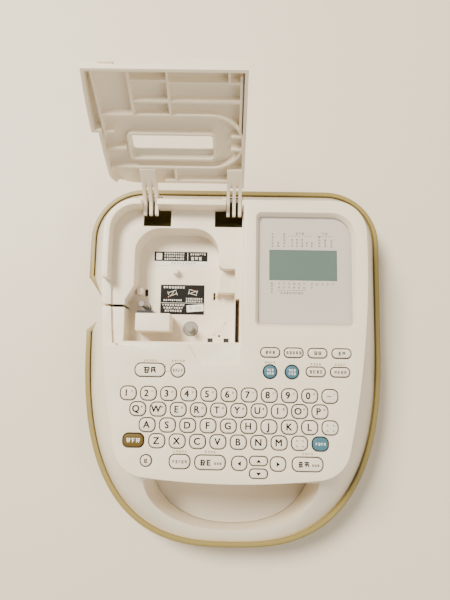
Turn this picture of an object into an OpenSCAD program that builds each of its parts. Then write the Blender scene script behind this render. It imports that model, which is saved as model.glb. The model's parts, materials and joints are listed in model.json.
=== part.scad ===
// Desk label maker with a full keyboard, a flip-up cassette lid and a carrying slot.
// X runs across the body, Y from the handle (front) to the hinge (back), Z up from the table.
// Every module works in body coordinates, where Y = 0 is the front of the handle, and place()
// then centres the object, with its lid open, on the origin.

/* [Body] */
// Width of the body across its rim
body_w = 180; // [176:1:216]
// Length of the body from the front of the handle to the back of the rim
body_l = 215; // [213:1:258]
// Height of the deck above the table
deck_z = 56; // [54:1:68]
// Height of the rim's middle above the table
rim_z = 24; // [22:0.5:26]
// Wall of the two case shells
wall = 2; // [1.6:0.1:2.4]
// How far the raised deck is set in from the rim at each side
deck_inset = 15; // [12:0.5:17]
// Height of the raised deck above the shoulder around it
deck_h = 10; // [9:0.5:12]
// Thickness of the deck panel's top
deck_t = 2.5; // [2:0.1:3]
// Corner radius of the deck at the back
deck_corner = 22; // [16:1:26]

/* [Handle] */
// Length of the carrying slot across the body
slot_w = 98; // [80:1:104]
// Width of the grip bar in front of the slot
grip_w = 10.6; // [9:0.2:13]
// Back edge of the slot from the front of the handle
slot_back = 41; // [36:0.5:42]

/* [Keys] */
// Pitch of the character keys across a row
key_pitch = 10.98; // [10:0.01:11.2]
// Pitch of the character rows
row_pitch = 8.37; // [8.2:0.01:9]
// Width of a character key
key_w = 8.7; // [7.5:0.1:8.9]
// Depth of a character key
key_d = 7.5; // [6.5:0.1:7.6]
// Gap between a key and its hole
key_gap = 0.3; // [0.2:0.05:0.4]
// Height of a key above the deck
key_proud = 1; // [0.6:0.1:1.6]
// Travel of a key
key_travel = 0.9; // [0.5:0.1:1]

/* [Cassette bay] */
// Width of the lid and the bay behind it
bay_w = 80; // [78:0.5:90]
// Length of the bay from its front edge to the deck's back edge
bay_l = 83; // [82:0.5:95]
// Depth of the ledge below the deck
ledge_drop = 12; // [11:0.5:13]
// Depth of the cassette well below the ledge
well_depth = 18; // [16:0.5:18.5]
// Width of the lip around the bay
lip_w = 3.2; // [2.8:0.1:3.6]

/* [Lid] */
// Angle that the lid opens to
lid_open = 115; // [95:1:118]
// Thickness of the lid's top
lid_t = 2; // [1.6:0.1:2.4]
// Height of the lid's skirt and of its top together
lid_h = 8; // [7:0.5:8]
// Gap around the lid
lid_gap = 0.4; // [0.3:0.1:0.6]
// Length of the lid's window
lid_window_l = 43.4; // [30:0.2:46]
// Width of the lid's window
lid_window_w = 11; // [8:1:13]
// Radius of a hinge pin
pin_r = 1; // [0.8:0.1:1.1]
// Radial running clearance of pins and shafts
run_gap = 0.05; // [0.03:0.01:0.08]

/* [Display] */
// Width of the display window
window_w = 56.6; // [46:0.1:57.4]
// Length of the display window
window_l = 65.8; // [54:0.1:66.8]
// Width of the liquid crystal's view
view_w = 38.8; // [30:0.1:42]
// Height of the liquid crystal's view
view_h = 17.8; // [14:0.1:22]

/* [Drive] */
// Tooth module of the gear train
gear_m = 0.8; // [0.7:0.01:0.82]
// Teeth of the motor's pinion
pinion_n = 14; // [12:1:14]
// Teeth of the reduction gear
idler_n = 45; // [44:1:46]
// Teeth of the ribbon spindle's gear
ribbon_n = 18; // [18:1:19]
// Teeth of the platen spindle's gear
platen_n = 20; // [19:1:21]
// Radius of the gear shafts
shaft_r = 1.5; // [1.2:0.1:1.6]

/* [Power] */
// Diameter of a cell
cell_d = 14.2; // [10:0.1:14.6]
// Length of a cell
cell_l = 50; // [44:0.5:51]

/* [Hidden] */

white = [0.89, 0.85, 0.78];
khaki = [0.66, 0.58, 0.36];
blue = [0.45, 0.65, 0.72];
steel = [0.72, 0.73, 0.74];
grey = [0.55, 0.54, 0.5];
dark = [0.12, 0.12, 0.13];

$fn = 48;
eps = 0.01;
clear = 0.3; // between pieces that don't fasten to each other
snug = 0.05; // between pieces that do

// Levels
foot_h = 1.5;
floor_z = foot_h + wall;
shoulder_z = deck_z - deck_h;
deck_under = deck_z - deck_t;
ledge_z = deck_z - ledge_drop;
well_z = ledge_z - well_depth;
sheet_t = 1.6; // tray plastic
bead = 3; // width of the rim's bead
bead_low = rim_z - 4;
bead_high = rim_z + 3;

// Plan
deck_w = body_w - 2 * deck_inset;
deck_back = body_l - 16;
deck_front = slot_back + 0.7;
shoulder_grow = 2; // from the deck's edge to the shoulder's
bay_y = deck_back - bay_l;
bay_x = -deck_w / 2;
bay_right = bay_x + bay_w;
hinge_y = deck_back + 1.9; // behind the lip, over the shoulder
hinge_z = shoulder_z + 1.4;

// Keys
keys_y = deck_front + 22; // the Z row
// Function keys: name, X, Y, width, depth, corner radius, colour
round_d = 7.6;
pill = [10.5, 5.3, 2.4];
FUNCTION_KEYS = [
    ["print_key", -45.5, keys_y + 37.8, 16.6, 7.4, 3.4, white],
    ["preview_key", -30.2, keys_y + 37.8, round_d, round_d, round_d / 2 - eps, white],
    ["layout_key", 20.3, keys_y + 48.4, pill[0], pill[1], pill[2], white],
    ["size_key", 33.2, keys_y + 48.4, pill[0], pill[1], pill[2], white],
    ["style_key", 46.3, keys_y + 48.4, pill[0], pill[1], pill[2], white],
    ["edit_key", 59.5, keys_y + 48.4, pill[0], pill[1], pill[2], white],
    ["cancel_key", 20.3, keys_y + 37.9, round_d, round_d, round_d / 2 - eps, blue],
    ["erase_key", 32.3, keys_y + 37.9, round_d, round_d, round_d / 2 - eps, blue],
    ["file_key", 45.3, keys_y + 38.2, pill[0], pill[1], pill[2], white],
    ["setup_key", 58.6, keys_y + 38.2, pill[0], pill[1], pill[2], white],
    ["shift_key", -53.2, keys_y + 0.1, 11.4, 7.5, 3, khaki],
    ["return_key", 47.5, keys_y - 0.2, 8.8, 7.5, 3.2, blue],
    ["power_key", -46, keys_y - 10.4, 6.2, 6.2, 3.09, white],
    ["mode_key", -27.9, keys_y - 10.6, 11.2, 7.5, 3.2, white],
    ["space_key", -11.6, keys_y - 10.8, 16.4, 7.6, 3.2, white],
    ["left_key", 4.1, keys_y - 11, 8.3, 7.4, 3.2, white],
    ["up_key", 14.4, keys_y - 9.6, 9.7, 4.9, 2.2, white],
    ["down_key", 14.4, keys_y - 16.2, 9.7, 4.9, 2.2, white],
    ["right_key", 24.8, keys_y - 11, 8.4, 7.5, 3.2, white],
    ["select_key", 40.6, keys_y - 10.9, 16.5, 7.5, 3.2, white]];
// Character rows: name, X of the first key, Y, colour, count
KEY_ROWS = [
    ["number_row", -56.9, keys_y + 3 * row_pitch, white, 11],
    ["q_row", -51.4, keys_y + 2 * row_pitch, white, 10],
    ["a_row", -46, keys_y + row_pitch, white, 10],
    ["z_row", -40.5, keys_y, white, 8]];

// --- Turned-open lid -------------------------------------------------------------------
function opened(y, z) = [
    hinge_y + (y - hinge_y) * cos(lid_open) + (z - hinge_z) * sin(lid_open),
    hinge_z - (y - hinge_y) * sin(lid_open) + (z - hinge_z) * cos(lid_open)];
lid_front = bay_y + lid_gap;
rest_back = opened(lid_front, deck_z)[0];
centre_y = rest_back / 2;

module place() {
    translate([0, -centre_y, 0]) children();
}

// --- Outlines --------------------------------------------------------------------------
function power(c, p) = sign(c) * pow(abs(c), p);
front_d = 125; // length of the tapering front part
front_p = 2 / 2.7; // how square the front is
back_r = 33; // rim's radius at the back corners

// The rim: a superellipse in front, straight sides and round corners at the back.
function rim_points(inset) = let (a = body_w / 2 - inset, d = front_d - inset, r = back_r - inset)
    concat(
        [for (t = [180:3:360]) [a * power(cos(t), front_p), front_d + d * power(sin(t), front_p)]],
        [for (t = [0:7.5:90]) [a - r + r * cos(t), body_l - inset - r + r * sin(t)]],
        [for (t = [90:7.5:180]) [r - a + r * cos(t), body_l - inset - r + r * sin(t)]]);

module rim_shape(inset) {
    polygon(rim_points(inset));
}

// The raised deck: slightly bowed sides and front, round corners. The sides bow towards the
// front from bow_y, where the keys are, and towards the back from 50 before the body's back.
side_bow = 500;
front_bow = 400;
bow_y = 165;
module bow(y, straight) {
    intersection() {
        translate([deck_w / 2 - side_bow, y]) circle(r = side_bow, $fn = 360);
        translate([side_bow - deck_w / 2, y]) circle(r = side_bow, $fn = 360);
    }
    translate([-deck_w / 2, y + straight]) square([deck_w, body_l]);
}

module deck_shape(grow = 0) {
    offset(delta = grow, $fn = 96)
    offset(r = deck_corner - 4) offset(delta = 4 - deck_corner)
    intersection() {
        translate([-deck_w / 2, 0]) square([deck_w, deck_back]);
        bow(bow_y, 0);
        bow(body_l - 50, -body_l);
        translate([0, deck_front + front_bow]) circle(r = front_bow, $fn = 360);
    }
}

// The part of the deck that the lid closes; the lip stays around it.
module recess_shape(inset = 0) {
    intersection() {
        deck_shape(-lip_w - inset);
        translate([bay_x - 10, bay_y + inset])
            square([bay_w + 10 - inset, bay_l]);
    }
}

// Where the tape leaves: a scoop in the body's left side.
scoop_y = bay_y + 22;
scoop_d = 11;
module scoop_shape(grow = 0) {
    offset(delta = grow)
    offset(r = 3) offset(delta = -3)
    polygon([
        [-body_w / 2 - 12, scoop_y + 24], [-body_w / 2 + 0.5, scoop_y + 19.5],
        [-body_w / 2 + scoop_d, scoop_y + 4], [-body_w / 2 + scoop_d, scoop_y - 3],
        [-body_w / 2 + 1, scoop_y - 12], [-body_w / 2 - 12, scoop_y - 16]]);
}

// The carrying slot: half a superellipse.
slot_p = 2 / 2.2;
module slot_shape(grow = 0) {
    offset(delta = grow)
    polygon([for (t = [180:5:360]) [
        slot_w / 2 * power(cos(t), slot_p),
        slot_back + (slot_back - grip_w) * power(sin(t), slot_p)]]);
}

module up(z, h) {
    translate([0, 0, z]) linear_extrude(h) children();
}

module round_box(size, r) {
    square([size[0] - 2 * r, size[1]], center = true);
    square([size[0], size[1] - 2 * r], center = true);
    for (x = [-1, 1], y = [-1, 1]) {
        translate([x * (size[0] / 2 - r), y * (size[1] / 2 - r)]) circle(r = r);
    }
}

// --- Case envelopes --------------------------------------------------------------------
base_in = 12; // how far the flat bottom is set in from the rim
module base_shape(inset = 0) {
    intersection() {
        rim_shape(base_in + inset);
        translate([-body_w, 24 + inset]) square([2 * body_w, body_l]);
    }
}

module body_shape(inset) {
    difference() {
        rim_shape(inset);
        scoop_shape(inset);
    }
}

module tub(inset, low) {
    hull() {
        up(low, eps) base_shape(inset);
        up(bead_low, eps) rim_shape(1.5 + inset);
    }
    up(bead_low, rim_z - bead_low + eps) rim_shape(1.5 + inset);
}

module shoulder(inset, low, high) {
    hull() {
        up(low, eps) rim_shape(bead + inset);
        up(high - eps, eps) deck_shape(shoulder_grow - inset);
    }
}

// Screws into the upper case, and the one into the bay tray
screw_at = [[9.5 - deck_w / 2, 78], [deck_w / 2 - 9.5, 78], [deck_w / 2 - 9.5, deck_back - 9.5]];
tray_screw = [bay_x + 9, deck_back - 27];
all_screws = concat(screw_at, [tray_screw]);
screw_r = 1.25;
boss_top = rim_z - 6;

battery_y = 54;
battery_w = 6 * (cell_d + 0.6) + 3.2;
battery_l = cell_l + 6;
battery_top = floor_z + cell_d + 2.2;

slot_edge = 1.2; // the lower case shows this much below the upper case's slot wall

jack_x = body_w / 4 + 1;
jack_z = 14;
jack_r = 4.2;

// --- Lower case ------------------------------------------------------------------------
// The slot's wall in the upper case, down to just above the lower case's underside
module slot_liner(grow) {
    intersection() {
        up(0, rim_z + 1) slot_shape(wall + grow);
        translate([0, 0, slot_edge - grow]) tub(0, foot_h);
    }
}

module bead_ring() {
    up(bead_low, 1) body_shape(1.2);
    up(bead_low + 1, 1.2) body_shape(0.4);
    up(bead_low + 2.2, 3) body_shape(0);
    up(bead_low + 5.2, 1) body_shape(0.4);
    up(bead_low + 6.2, bead_high - bead_low - 6.2) body_shape(1.2);
}

module battery_room(grow) {
    translate([0, battery_y + battery_l / 2])
        square([battery_w + 2 * grow, battery_l + 2 * grow], center = true);
}

module cover_shape(inset = 0) {
    translate([0, battery_y + battery_l / 2])
        round_box([battery_w - 2 * inset, battery_l - 2 * inset], 2);
}

module lower_case() {
    color(khaki) place() difference() {
        union() {
            difference() {
                union() {
                    tub(0, foot_h);
                    bead_ring();
                }
                tub(wall + 1, floor_z);
                up(rim_z, 10) body_shape(bead - snug);
            }
            intersection() {
                tub(0.2, foot_h);
                union() {
                    up(0, rim_z - 1) slot_shape(2 * wall);
                    up(0, rim_z) scoop_shape(bead);
                    up(0, battery_top + sheet_t) battery_room(sheet_t);
                    for (p = all_screws) {
                        translate([p[0], p[1], foot_h]) cylinder(r = 3.6, h = boss_top - foot_h);
                    }
                    translate([jack_x - 8, body_l - 25, foot_h]) cube([16, 25, 20]);
                }
            }
        }
        up(-1, 60) slot_shape(0);
        slot_liner(snug);
        up(rim_z, 40) slot_shape(wall + snug);
        up(-1, 60) scoop_shape(0);
        up(foot_h - 1, battery_top - foot_h + 1) battery_room(0);
        for (p = all_screws) {
            translate([p[0], p[1], 0]) cylinder(r = screw_r + snug, h = 30);
            translate([p[0], p[1], 0]) cylinder(r = 2.5, h = floor_z + 2);
        }
        translate([jack_x, body_l - 30, jack_z]) rotate([-90, 0, 0])
            cylinder(r = jack_r + snug, h = 40);
        translate([jack_x - 5.6, body_l - 32, jack_z - 5.6]) cube([11.2, 20, 11.2]);
    }
}

// --- Upper case ------------------------------------------------------------------------
module bay_block(grow) {
    translate([bay_x - 20, bay_y - grow]) square([bay_w + 20 + grow, bay_l + 20]);
}

// Openings under the lid's hinge arms
arm_w = 8.6;
arm_x = [bay_x + 25.4, bay_right - 5.8];
pocket_l = 10;
pocket_w = 16.4;
module pocket_shape(arm) {
    x0 = arm == 0 ? arm_x[0] - arm_w / 2 - 0.4 : arm_x[1] - 11.2;
    translate([x0, deck_back - 13]) square([pocket_w, pocket_l]);
}

// The way through the lip for each arm and for its tail
module arm_ways() {
    for (x = arm_x) {
        translate([x - arm_w / 2 - clear, deck_back - 4, rim_z + 2])
            cube([arm_w + 2 * clear, 14, 60]);
    }
}

// A rod along the hinge line, past an arm's left side and its right side
pin_left = 2.5;
pin_right = 1.2;
module hinge_rod(arm, r, more = 0) {
    translate([arm_x[arm] - arm_w / 2 - pin_left - more, hinge_y, hinge_z]) rotate([0, 90, 0])
        cylinder(r = r, h = arm_w + pin_left + pin_right + 2 * more);
}

module upper_case() {
    color(white) place() difference() {
        union() {
            difference() {
                shoulder(0, rim_z + eps, shoulder_z);
                shoulder(wall, rim_z - 1, shoulder_z - wall);
                up(shoulder_z - wall - 1, wall + 2) difference() {
                    deck_shape(-8);
                    bay_block(3);
                }
                up(shoulder_z - wall - 1, wall + 2) recess_shape(0);
            }
            intersection() {
                shoulder(0.1, rim_z + eps, shoulder_z);
                union() {
                    up(rim_z, 40) slot_shape(wall);
                    up(rim_z, 40) scoop_shape(bead + wall);
                }
            }
            slot_liner(0);
            for (p = screw_at) {
                translate([p[0], p[1], boss_top + snug])
                    cylinder(r = 3.2, h = shoulder_z - wall - boss_top);
            }
            up(shoulder_z - eps, deck_h + eps) difference() {
                intersection() {
                    deck_shape(0);
                    translate([bay_x - 20, bay_y + 37])
                        square([bay_w + 20 - snug, bay_l]);
                }
                recess_shape(0);
            }
            // lugs round the pins, behind the lip
            intersection() {
                for (arm = [0, 1]) hinge_rod(arm, 2.3, 0.05);
                translate([bay_x, deck_back - lip_w + eps, shoulder_z - 1])
                    cube([bay_w, 10, 10]);
            }
        }
        up(-1, 60) slot_shape(0);
        up(-1, 90) scoop_shape(bead);
        for (p = screw_at) {
            translate([p[0], p[1], 0]) cylinder(r = screw_r + snug, h = boss_top + 8);
        }
        arm_ways();
        for (arm = [0, 1]) hinge_rod(arm, pin_r + run_gap, 0.05);
        tape_way();
    }
}

// --- Deck panel ------------------------------------------------------------------------
module panel_shape() {
    difference() {
        deck_shape(0);
        bay_block(0);
    }
}

window_x = deck_w / 2 - 34.8;
window_y = deck_back - 39.9;
window_r = 14; // the back right corner's radius; the others are window_corner
window_corner = 3.4;
window_t = 1.2;
window_back = 3.4; // from the deck down to the window
window_slope = 1.8; // how far the recess narrows on the way down
window_edge = 0.7; // from the recess's outline at the deck to the window's
module window_shape(inset) {
    w = window_w - 2 * inset;
    l = window_l - 2 * inset;
    big = window_r - inset;
    translate([window_x, window_y]) {
        difference() {
            round_box([w, l], window_corner - inset);
            translate([w / 2 - big, l / 2 - big]) square(big + 1);
        }
        translate([w / 2 - big, l / 2 - big]) circle(r = big, $fn = 96);
    }
}

module window_recess() {
    hull() {
        up(deck_z - window_back - eps, eps) window_shape(window_slope);
        up(deck_z, eps) window_shape(0);
    }
}

thumb_w = 26;
thumb_l = 11;
thumb_x = bay_x + 65.5;
thumb_left = thumb_x - thumb_w / 2;
module thumb_scoop() {
    translate([thumb_x, bay_y, deck_z - 1.5]) linear_extrude(10)
        offset(r = 2.5) offset(delta = -2.5)
        polygon([[-thumb_w / 2 - 2.5, 8], [-thumb_w / 2 - 2.5, 0], [-thumb_w / 2 + 1.5, -7],
            [-thumb_w / 2 + 5, -thumb_l], [thumb_w / 2, -thumb_l], [thumb_w / 2, 8]]);
}

module deck_panel() {
    color(white) place() difference() {
        union() {
            up(deck_under, deck_t) panel_shape();
            up(shoulder_z + eps, deck_h - 0.1) difference() {
                panel_shape();
                offset(delta = -wall) panel_shape();
            }
            // collar round the window
            up(deck_z - window_back - window_t, window_back) window_shape(-1.2);
        }
        for (key = FUNCTION_KEYS) key_hole(key);
        for (row = KEY_ROWS) {
            for (i = [0:row[4] - 1]) key_hole(row_key(row, i));
        }
        latch(clear, 10);
        window_recess();
        up(deck_z - window_back - 10, 10 + snug) window_shape(window_edge - snug);
        thumb_scoop();
    }
}

// --- Keys ------------------------------------------------------------------------------
key_r = 3.1;
key_low = deck_under - 1.2;
flange = 0.25; // wider than the hole, so that the key stays in

function row_key(row, i) =
    let (x = row[1] + 5 * key_pitch * (i / 5 - 1) + 5 * 10.98)
    [row[0], x, row[2], key_w, key_d, key_r, row[3]];

module key_outline(key, grow) {
    translate([key[1], key[2]])
        round_box([key[3] + 2 * grow, key[4] + 2 * grow], min(key[5], key[4] / 2 - eps) + grow);
}

module key_hole(key) {
    up(deck_under - 1, deck_t + 3) key_outline(key, 0);
}

module key_cap(key) {
    up(key_low, 1) key_outline(key, flange);
    up(key_low + 0.9, deck_z + key_proud - 0.4 - key_low - 0.9) key_outline(key, -key_gap);
    up(deck_z + key_proud - 0.5, 0.5) key_outline(key, -key_gap - 0.4);
}

module function_key(n) {
    color(FUNCTION_KEYS[n][6]) place() key_cap(FUNCTION_KEYS[n]);
}

module key_row(n) {
    row = KEY_ROWS[n];
    first = row_key(row, 0)[1];
    color(row[3]) place() union() {
        for (i = [0:row[4] - 1]) key_cap(row_key(row, i));
        translate([first, row[2] - 2, key_low]) cube([(row[4] - 1) * key_pitch, 4, 0.8]);
    }
}

// --- Keypad, board, display ------------------------------------------------------------
board_low = shoulder_z + 0.3;
board_t = 1.6;
pad_low = board_low + board_t + 0.05;
pad_t = 1;
module board_shape(inset) {
    offset(delta = -wall - 1 - inset) panel_shape();
}

module main_board() {
    color([0.2, 0.42, 0.3]) place() up(board_low, board_t) board_shape(0);
}

module keypad_sheet() {
    color(grey) place() {
        up(pad_low, pad_t) intersection() {
            board_shape(0.5);
            translate([-body_w, 0]) square([2 * body_w, keys_y + 54]);
        }
        for (key = FUNCTION_KEYS) dome(key);
        for (row = KEY_ROWS) {
            for (i = [0:row[4] - 1]) dome(row_key(row, i));
        }
    }
}

module dome(key) {
    translate([key[1], key[2], pad_low + pad_t - eps])
        cylinder(r = 1.8, h = key_low - key_travel - 0.1 - pad_low - pad_t);
}

module display_window() {
    color([0.85, 0.9, 0.92, 0.35]) place()
        up(deck_z - window_back - window_t, window_t) window_shape(window_edge);
}

mask_z = deck_z - window_back - window_t - 0.5;
lcd_dy = 3.1; // the view's middle above the window's
module display_mask() {
    color([0.75, 0.74, 0.71]) place() up(mask_z, 0.4) difference() {
        window_shape(window_edge + 0.2);
        translate([window_x - 0.9, window_y + lcd_dy]) square([view_w, view_h], center = true);
    }
}

module lcd_module() {
    color([0.33, 0.48, 0.4]) place() translate([window_x - 0.9, window_y + lcd_dy, 0]) {
        up(mask_z - 2.9, 2.8) square([view_w + 6, view_h + 8], center = true);
    }
}

// --- Bay tray --------------------------------------------------------------------------
well_x = bay_x + 16.2;
well_right = bay_right - 4.5;
module well_shape(grow = 0) {
    offset(delta = grow)
    offset(r = -4) offset(delta = 4)
    union() {
        translate([well_x, bay_y + 1.8]) offset(r = 15) offset(delta = -15)
            square([49.5, 67.2]);
        translate([well_x, bay_y + 1.8]) square([49.5, 40]);
        translate([well_x + 20, bay_y + 1.8]) square([well_right - well_x - 20, 43.2]);
        polygon([[bay_x + 11.5, bay_y + 1.8], [well_x + 9, bay_y + 1.8],
            [well_x + 9, bay_y + 34], [well_x, bay_y + 34], [bay_x + 11.5, bay_y + 26]]);
    }
}

head_x = bay_x + 28.2;
head_y = bay_y + 12.9;
head_w = 20;
head_d = 10.3;
head_top = ledge_z + 1.5;
platen_at = [bay_x + 21.3, bay_y + 23.7];
ribbon_at = [bay_x + 49, bay_y + 10.7];
peg_at = [bay_x + 38.9, bay_y + 46];
platen_hub_r = 2.7;
ribbon_hub_r = 4.3;
tape_y = bay_y + 22.2;
tape_w = 1.6;
module tape_way() {
    translate([-body_w / 2, tape_y - tape_w / 2, well_z + 1])
        cube([bay_x + 12.5 + body_w / 2, tape_w, 60]);
}

plate_top = well_z - sheet_t - 8.6;
tray_posts = [[bay_x + 17.5, bay_y + 9], [bay_x + 17.5, bay_y + 52], [bay_right - 18, bay_y + 52.5],
    [bay_right - 7.5, bay_y + 7]];
strip_x = bay_right - 4.1;
strip_slot = 2.4;
module tray_holes() {
    translate([platen_at[0], platen_at[1], 0]) cylinder(r = platen_hub_r + clear, h = 60);
    translate([ribbon_at[0], ribbon_at[1], 0]) cylinder(r = ribbon_hub_r + clear, h = 60);
    for (x = [bay_right - 19, bay_right - 9.2]) {
        translate([x - 1.6, bay_y + 1.8, 0]) cube([3.2, 3.4, 60]);
    }
    translate([bay_right - 13.5, bay_y + 6.6, 0]) cylinder(r = 0.7, h = 60);
    translate([bay_x + 20.2, bay_y + 30.4, 0]) cube([2, 4.4, 60]);
    translate([bay_right - 17.6, bay_y + 28.6, 0]) cube([1.4, 4.6, 60]);
    translate([strip_x, bay_y + 1.8, well_z - 4]) cube([strip_slot, 25.4, 60]);
}

module bay_tray() {
    color(white) place() difference() {
        union() {
            up(ledge_z - sheet_t, sheet_t) difference() {
                recess_shape(-1.5);
                well_shape(0);
            }
            up(well_z - sheet_t, well_depth + sheet_t - eps) difference() {
                well_shape(sheet_t);
                well_shape(0);
            }
            up(well_z - sheet_t, sheet_t) well_shape(sheet_t);
            // shelf at the right, behind the spring
            translate([bay_right - 14, bay_y + 32, well_z - eps])
                cube([well_right - bay_right + 14.5, 13.5, 10]);
            // wall and box around the spring
            translate([well_right, bay_y + 1.8 - sheet_t, well_z - 5.4])
                cube([bay_right - 0.4 - well_right, 28.5, ledge_z - well_z + 5.4 - eps]);
            translate([peg_at[0], peg_at[1], well_z - eps]) cylinder(r = 2, h = 6);
            translate([bay_x + 17, bay_y + 30.4, well_z - eps]) cube([3, 4, 9]);
            translate([bay_right - 16, bay_y + 30.6, well_z - eps]) cube([1.4, 3, 5]);
            for (p = [[bay_x + 20.8, bay_y + 59.5], [bay_right - 10.5, bay_y + 15],
                [bay_right - 17, bay_y + 8]]) {
                translate([p[0], p[1], well_z - eps]) cylinder(r = 0.7, h = 0.9);
            }
            for (p = tray_posts) {
                translate([p[0], p[1], plate_top + snug])
                    cylinder(r = 2.2, h = well_z - plate_top - 1);
            }
            translate([tray_screw[0], tray_screw[1], boss_top + snug])
                cylinder(r = 3.2, h = ledge_z - boss_top - 1);
        }
        tray_holes();
        for (arm = [0, 1]) up(0, 60) pocket_shape(arm);
        up(-1, 90) scoop_shape(bead);
        tape_way();
        arm_ways();
        translate([tray_screw[0], tray_screw[1], 0])
            cylinder(r = screw_r + snug, h = boss_top + 8);
    }
}

// --- Lid -------------------------------------------------------------------------------
module swing() {
    translate([0, hinge_y, hinge_z]) rotate([-lid_open, 0, 0])
        translate([0, -hinge_y, -hinge_z]) children();
}

module lid_shape() {
    recess_shape(lid_gap);
    intersection() {
        deck_shape(0);
        translate([bay_x - 2, bay_y + lid_gap]) square([14, 37 - 2 * lid_gap]);
    }
}

rib_t = 1.2;
lid_low = deck_z - lid_h;
rib_low = lid_low + 1.5;
lid_win_x = bay_x + 40.6;
lid_win_y = bay_y + 47.5;

module rib(x0, y0, x1, y1, low = rib_low) {
    translate([bay_x + min(x0, x1), bay_y + min(y0, y1), low])
        cube([max(abs(x1 - x0), rib_t), max(abs(y1 - y0), rib_t), deck_z - lid_t / 2 - low]);
}

module lid_ribs() {
    rib(23, 7, 41, 7);
    rib(41, 8, 76.5, 8);
    rib(23, 18.5, 76.5, 18.5);
    rib(22.6, 1, 22.6, 27);
    rib(41, 1, 41, 27);
    rib(70.2, 1, 70.2, 8);
    rib(5.5, 26.6, 61, 26.6);
    rib(5.5, 61, 61, 61);
    rib(35, 71, 70, 71);
    rib(40.5, 61, 40.5, 71);
    rib(6, 37, 11.5, 37);
    rib(6, 48, 16, 48);
    rib(72, 39.5, 78, 39.5);
    rib(72, 48, 78, 48);
    rib(76, 5, 76, 38);
    rib(5.8, 1, 5.8, 40);
    translate([bay_x + 61, bay_y + 44.4, rib_low]) linear_extrude(lid_h - 2.5)
        intersection() {
            difference() {
                circle(r = 17.8, $fn = 96);
                circle(r = 17.8 - rib_t, $fn = 96);
            }
            translate([0, -20]) square([20, 40]);
        }
}

// A hinge arm: three fins round the pin, with a tail that stops the open lid.
fin_t = 1.8;
module arm(x) {
    for (i = [-1, 0, 1]) {
        translate([x + i * (arm_w - fin_t) / 2 - fin_t / 2, 0, 0]) rotate([90, 0, 90])
            linear_extrude(fin_t) fin_profile();
    }
    translate([x - arm_w / 2, deck_back - 20.5, lid_low + 1])
        cube([arm_w, 13.5, lid_h - lid_t]);
}

hub_r = 2.9;
tail = [4.1, -6.8]; // from the pin, with the lid closed
module fin_profile() {
    front = [deck_back - 12 - hinge_y, lid_low - hinge_z];
    side = (hub_r - 0.2) / norm(tail) * [-tail[1], tail[0]];
    translate([hinge_y, hinge_z]) difference() {
        union() {
            circle(r = hub_r);
            translate(tail) circle(r = 1.5);
            polygon([side, -side, tail - side / 2, tail + side / 2]);
            polygon([[0.5, hub_r - eps], [front[0] + 5, front[1] + 5], front + [0, 5],
                front + [0, 1], [-1.5, -hub_r + 0.45]]);
        }
        circle(r = pin_r + run_gap);
    }
}

// The latch on the lid's front edge; the deck has a notch for it.
latch_out = 0.8;
module latch(gap, h = 1.6) {
    translate([bay_x + 10 - gap, bay_y - latch_out - gap, deck_z - 4.6 - gap])
        cube([7 + 2 * gap, latch_out + lid_gap + 2, h]);
}

module lid_closed() {
    difference() {
        union() {
            up(deck_z - lid_t, lid_t) lid_shape();
            up(lid_low, lid_h) difference() {
                lid_shape();
                offset(delta = -sheet_t) lid_shape();
            }
            intersection() {
                up(rib_low - 5, 40) offset(delta = -0.5) lid_shape();
                lid_ribs();
            }
            translate([lid_win_x, lid_win_y, lid_low + 2]) linear_extrude(lid_h - 2.5)
                difference() {
                    round_box([lid_window_l + 3, lid_window_w + 7], 3);
                    round_box([lid_window_l + 0.6, lid_window_w + 4.6], 2);
                }
            latch(0);
        }
        translate([lid_win_x, lid_win_y, deck_z - lid_t - 1]) linear_extrude(lid_t + 2)
            round_box([lid_window_l, lid_window_w], 1.5);
        lid_back_cut();
        // the front edge slopes, but for the thumb's part
        translate([bay_x - 5, 0, 0]) rotate([90, 0, 90]) linear_extrude(thumb_left - bay_x + 5)
            polygon([[lid_front - 1, deck_z - 4.5], [lid_front + 2.2, deck_z],
                [lid_front + 2.2, deck_z + 1], [lid_front - 1, deck_z + 1]]);
    }
}

// The lid's back edge has to turn past the lip, so each layer of it stays outside the
// circle round the pins that goes through the lip's top inner edge.
lip_r = deck_corner - 4 - lip_w;
lip_y = deck_back - deck_corner + 4;
lip_x = side_bow + bay_x - sqrt(pow(side_bow - deck_corner + 4, 2) - pow(lip_y - body_l + 50, 2));
module lid_back_cut() {
    levels = [-1, 1.2, 3.2, 4.8, 6, 6.7, 7.4, 8];
    for (i = [0:len(levels) - 1]) {
        low = lid_low + levels[i];
        reach = pow(deck_z - hinge_z, 2) - pow(low - hinge_z, 2);
        edge = [for (a = [90:9:180]) [lip_x + (lip_r + 0.1) * cos(a),
            hinge_y - sqrt(pow(hinge_y - lip_y - lip_r * sin(a) + 0.2, 2) + reach)]];
        top = i == len(levels) - 1 ? deck_z + 1 : lid_low + levels[i + 1];
        up(low, top - low + eps) polygon(concat([[bay_right + 2, edge[0][1]]], edge,
            [[bay_x - 5, edge[10][1]], [bay_x - 5, hinge_y], [bay_right + 2, hinge_y]]));
    }
}

module cassette_lid() {
    color(white) place() swing() union() {
        lid_closed();
        for (x = arm_x) arm(x);
    }
}

module lid_window() {
    color([0.85, 0.9, 0.92, 0.35]) place() swing()
        translate([lid_win_x, lid_win_y, deck_z - lid_t - 1.1]) linear_extrude(1)
            round_box([lid_window_l + 0.4, lid_window_w + 4.4], 2);
}

module hinge_pin(n) {
    color(steel) place() hinge_rod(n, pin_r);
}

module hinge_pin_left() {
    hinge_pin(0);
}

module hinge_pin_right() {
    hinge_pin(1);
}

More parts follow.
